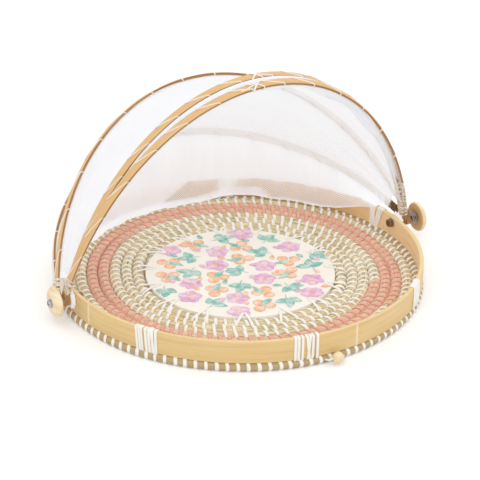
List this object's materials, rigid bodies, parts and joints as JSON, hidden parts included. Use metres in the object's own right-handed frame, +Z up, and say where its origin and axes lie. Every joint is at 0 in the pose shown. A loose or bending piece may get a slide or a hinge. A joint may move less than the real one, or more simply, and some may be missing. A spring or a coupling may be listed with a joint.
{
  "type": "wicker tray with food cover",
  "caption": "Round coiled seagrass tray with a bamboo rim and a folding net food cover on four pivoting bamboo bows.",
  "frame": {"origin": "centre of the centre disc's underside, on the plane that the tray rests on", "axes": "+X along the hinge line towards the knob with the spring, -Y towards the front where the cover closes, +Z up"},
  "size_m": [0.4089, 0.3686, 0.2229],
  "materials": {
    "seagrass": "dry matt grass bundle",
    "printed_board": "printed satin board",
    "bamboo": "satin split bamboo",
    "pale_wood": "sanded, unfinished",
    "white_cord": "flat plaited cord",
    "white_net": "fine mesh",
    "steel": "zinc plated",
    "brass": "plain"
  },
  "bodies": {
    "tray": {"seagrass_coil": "seagrass", "centre_disc": "printed_board", "bamboo_rim": "bamboo", "rim_lashing_front_left": "white_cord", "rim_lashing_front": "white_cord", "rim_lashing_front_right": "white_cord", "rim_lashing_right": "white_cord", "rim_lashing_rear_right": "white_cord", "rim_lashing_rear_left": "white_cord", "rim_lashing_left": "white_cord", "left_spacer": "pale_wood", "right_spacer": "pale_wood", "left_washer": "steel", "right_washer": "steel", "left_nut": "brass", "right_nut": "brass", "left_knob": "pale_wood", "right_knob": "pale_wood", "left_pivot_bolt": "steel", "right_pivot_bolt": "steel", "pivot_spring": "steel", "closure_bead": "pale_wood", "bead_cord": "white_cord", "net_rear": "white_net"},
    "rear_bow": {"bow_rear": "bamboo", "net_third": "white_net"},
    "third_bow": {"bow_third": "bamboo", "net_second": "white_net"},
    "second_bow": {"bow_second": "bamboo", "net_front": "white_net"},
    "front_bow": {"bow_front": "bamboo"}
  },
  "joints": [
    {"name": "rear_bow_hinge", "type": "hinge", "parent": "tray", "child": "rear_bow", "pos_m": [0, 0, 0.02374], "axis": [-1, 0, 0], "range_deg": [-23.9, 13.1], "deforming": ["net_rear"]},
    {"name": "third_bow_hinge", "type": "hinge", "parent": "rear_bow", "child": "third_bow", "pos_m": [0, 0, 0.02374], "axis": [-1, 0, 0], "range_deg": [-7.6, 31.4], "deforming": ["net_third"]},
    {"name": "second_bow_hinge", "type": "hinge", "parent": "third_bow", "child": "second_bow", "pos_m": [0, 0, 0.02374], "axis": [-1, 0, 0], "range_deg": [-7.1, 31.9], "deforming": ["net_second"]},
    {"name": "front_bow_hinge", "type": "hinge", "parent": "second_bow", "child": "front_bow", "pos_m": [0, 0, 0.02374], "axis": [-1, 0, 0], "range_deg": [-38.8, 0.2], "deforming": ["net_front"]}
  ]
}
